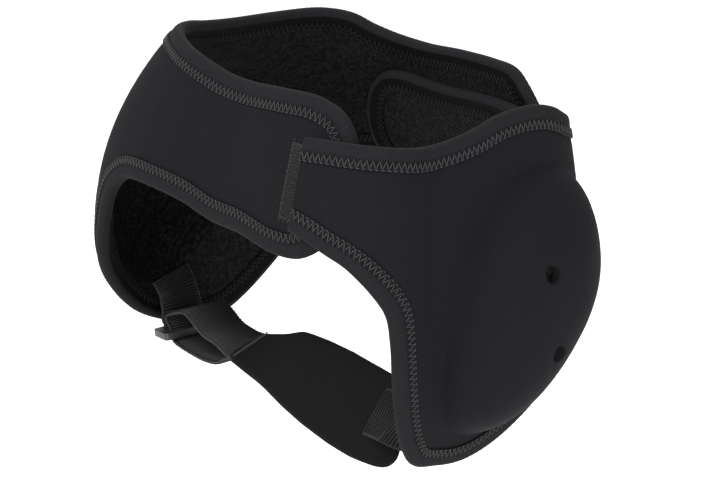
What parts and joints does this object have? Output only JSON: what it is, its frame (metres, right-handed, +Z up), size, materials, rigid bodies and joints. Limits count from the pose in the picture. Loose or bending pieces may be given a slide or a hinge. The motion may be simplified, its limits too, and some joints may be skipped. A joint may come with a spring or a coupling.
{
  "type": "wrestling ear guard",
  "caption": "Head loop of black neoprene with moulded ear domes, a hook-and-loop forehead strap and back band, and a padded chin strap with a webbing slider.",
  "frame": {"origin": "centre of the head loop, where the head holds the guard", "axes": "+Z up, the wearer faces -Y, the wearer's left ear is at +X"},
  "size_m": [0.2377, 0.1536, 0.1583],
  "materials": {
    "neoprene": "knit-faced neoprene, matt",
    "binding_tape": "stitched elastic tape, matt",
    "hook_tape": "hook tape, matt",
    "pad_cloth": "knit-faced foam pad, matt",
    "webbing": "ribbed webbing, slight sheen",
    "slider_plastic": "moulded, satin"
  },
  "bodies": {
    "root": {"head_wrap": "neoprene", "head_wrap_binding": "binding_tape", "left_ear_panel": "neoprene", "left_panel_binding": "binding_tape", "strap_hook_patch": "hook_tape", "chin_pad": "pad_cloth", "chin_webbing_near": "webbing", "chin_webbing_far": "webbing", "buckle_tab": "webbing", "slide_buckle": "slider_plastic"}
  },
  "joints": []
}
